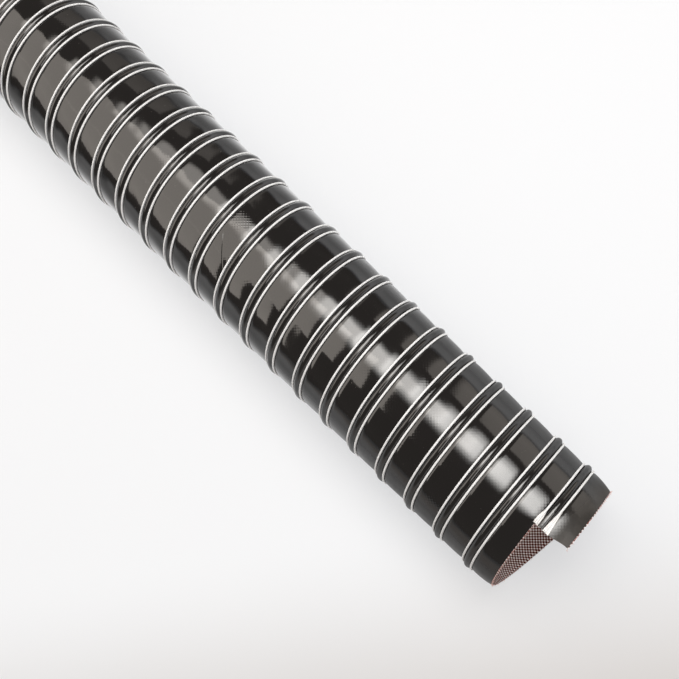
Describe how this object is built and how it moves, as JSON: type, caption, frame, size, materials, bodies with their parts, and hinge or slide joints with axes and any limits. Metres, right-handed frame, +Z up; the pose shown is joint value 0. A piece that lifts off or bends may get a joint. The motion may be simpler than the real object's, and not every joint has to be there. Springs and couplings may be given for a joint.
{
  "type": "flexible air duct",
  "caption": "Flexible air duct of black coated glass fabric over a spring-wire helix, with a white cord on each side of the wire's hump and a red-brown woven lining.",
  "frame": {"origin": "centre of the duct's bore at its inlet mouth", "axes": "+X along the duct from the inlet to the cut outlet, +Z up, away from the surface that the duct lies on"},
  "size_m": [0.5408, 0.0824, 0.0816],
  "materials": {
    "cover_fabric": "gloss",
    "lining_fabric": "satin",
    "spring_steel": "bright drawn",
    "glass_cord": "matt"
  },
  "bodies": {
    "length_01": {"inner_ply_01": "lining_fabric", "outer_ply_01": "cover_fabric", "spring_wire_01": "spring_steel", "lead_cord_01": "glass_cord", "trail_cord_01": "glass_cord"},
    "length_02": {"inner_ply_02": "lining_fabric", "outer_ply_02": "cover_fabric", "spring_wire_02": "spring_steel", "lead_cord_02": "glass_cord", "trail_cord_02": "glass_cord"},
    "length_03": {"inner_ply_03": "lining_fabric", "outer_ply_03": "cover_fabric", "spring_wire_03": "spring_steel", "lead_cord_03": "glass_cord", "trail_cord_03": "glass_cord"},
    "length_04": {"inner_ply_04": "lining_fabric", "outer_ply_04": "cover_fabric", "spring_wire_04": "spring_steel", "lead_cord_04": "glass_cord", "trail_cord_04": "glass_cord"},
    "length_05": {"inner_ply_05": "lining_fabric", "outer_ply_05": "cover_fabric", "spring_wire_05": "spring_steel", "lead_cord_05": "glass_cord", "trail_cord_05": "glass_cord"},
    "length_06": {"inner_ply_06": "lining_fabric", "outer_ply_06": "cover_fabric", "spring_wire_06": "spring_steel", "lead_cord_06": "glass_cord", "trail_cord_06": "glass_cord"},
    "length_07": {"inner_ply_07": "lining_fabric", "outer_ply_07": "cover_fabric", "spring_wire_07": "spring_steel", "lead_cord_07": "glass_cord", "trail_cord_07": "glass_cord"},
    "length_08": {"inner_ply_08": "lining_fabric", "outer_ply_08": "cover_fabric", "spring_wire_08": "spring_steel", "lead_cord_08": "glass_cord", "trail_cord_08": "glass_cord"},
    "length_09": {"inner_ply_09": "lining_fabric", "outer_ply_09": "cover_fabric", "spring_wire_09": "spring_steel", "lead_cord_09": "glass_cord", "trail_cord_09": "glass_cord"},
    "length_10": {"inner_ply_10": "lining_fabric", "outer_ply_10": "cover_fabric", "spring_wire_10": "spring_steel", "lead_cord_10": "glass_cord", "trail_cord_10": "glass_cord"},
    "length_11": {"inner_ply_11": "lining_fabric", "outer_ply_11": "cover_fabric", "spring_wire_11": "spring_steel", "lead_cord_11": "glass_cord", "trail_cord_11": "glass_cord"}
  },
  "joints": [
    {"name": "bend_1", "type": "hinge", "parent": "length_01", "child": "length_02", "pos_m": [0.0477, 0, 0], "axis": [0, 0, 1], "range_deg": [-18, 18], "stiffness_Nm_per_rad": 1, "deforming": ["inner_ply_01", "outer_ply_01", "lead_cord_01", "trail_cord_01", "inner_ply_02", "outer_ply_02", "lead_cord_02", "trail_cord_02"]},
    {"name": "stretch_1", "type": "slide", "parent": "length_02", "child": "length_03", "axis": [1, 0, 0], "range_m": [-0.013, 0.001], "stiffness_N_per_m": 500, "deforming": ["inner_ply_02", "outer_ply_02", "lead_cord_02", "trail_cord_02", "inner_ply_03", "outer_ply_03", "lead_cord_03", "trail_cord_03"]},
    {"name": "bend_2", "type": "hinge", "parent": "length_03", "child": "length_04", "pos_m": [0.1431, 0, 0], "axis": [0, 0, 1], "range_deg": [-18, 18], "stiffness_Nm_per_rad": 1, "deforming": ["inner_ply_03", "outer_ply_03", "lead_cord_03", "trail_cord_03", "inner_ply_04", "outer_ply_04", "lead_cord_04", "trail_cord_04"]},
    {"name": "stretch_2", "type": "slide", "parent": "length_04", "child": "length_05", "axis": [1, 0, 0], "range_m": [-0.013, 0.001], "stiffness_N_per_m": 500, "deforming": ["inner_ply_04", "outer_ply_04", "lead_cord_04", "trail_cord_04", "inner_ply_05", "outer_ply_05", "lead_cord_05", "trail_cord_05"]},
    {"name": "bend_3", "type": "hinge", "parent": "length_05", "child": "length_06", "pos_m": [0.2385, 0, 0], "axis": [0, 0, 1], "range_deg": [-18, 18], "stiffness_Nm_per_rad": 1, "deforming": ["inner_ply_05", "outer_ply_05", "lead_cord_05", "trail_cord_05", "inner_ply_06", "outer_ply_06", "lead_cord_06", "trail_cord_06"]},
    {"name": "stretch_3", "type": "slide", "parent": "length_06", "child": "length_07", "axis": [1, 0, 0], "range_m": [-0.013, 0.001], "stiffness_N_per_m": 500, "deforming": ["inner_ply_06", "outer_ply_06", "lead_cord_06", "trail_cord_06", "inner_ply_07", "outer_ply_07", "lead_cord_07", "trail_cord_07"]},
    {"name": "bend_4", "type": "hinge", "parent": "length_07", "child": "length_08", "pos_m": [0.3339, 0, 0], "axis": [0, 0, 1], "range_deg": [-18, 18], "stiffness_Nm_per_rad": 1, "deforming": ["inner_ply_07", "outer_ply_07", "lead_cord_07", "trail_cord_07", "inner_ply_08", "outer_ply_08", "lead_cord_08", "trail_cord_08"]},
    {"name": "stretch_4", "type": "slide", "parent": "length_08", "child": "length_09", "axis": [1, 0, 0], "range_m": [-0.013, 0.001], "stiffness_N_per_m": 500, "deforming": ["inner_ply_08", "outer_ply_08", "lead_cord_08", "trail_cord_08", "inner_ply_09", "outer_ply_09", "lead_cord_09", "trail_cord_09"]},
    {"name": "bend_5", "type": "hinge", "parent": "length_09", "child": "length_10", "pos_m": [0.4293, 0, 0], "axis": [0, 0, 1], "range_deg": [-18, 18], "stiffness_Nm_per_rad": 1, "deforming": ["inner_ply_09", "outer_ply_09", "lead_cord_09", "trail_cord_09", "inner_ply_10", "outer_ply_10", "lead_cord_10", "trail_cord_10"]},
    {"name": "stretch_5", "type": "slide", "parent": "length_10", "child": "length_11", "axis": [1, 0, 0], "range_m": [-0.013, 0.001], "stiffness_N_per_m": 500, "deforming": ["inner_ply_10", "outer_ply_10", "lead_cord_10", "trail_cord_10", "inner_ply_11", "outer_ply_11", "lead_cord_11", "trail_cord_11"]}
  ]
}
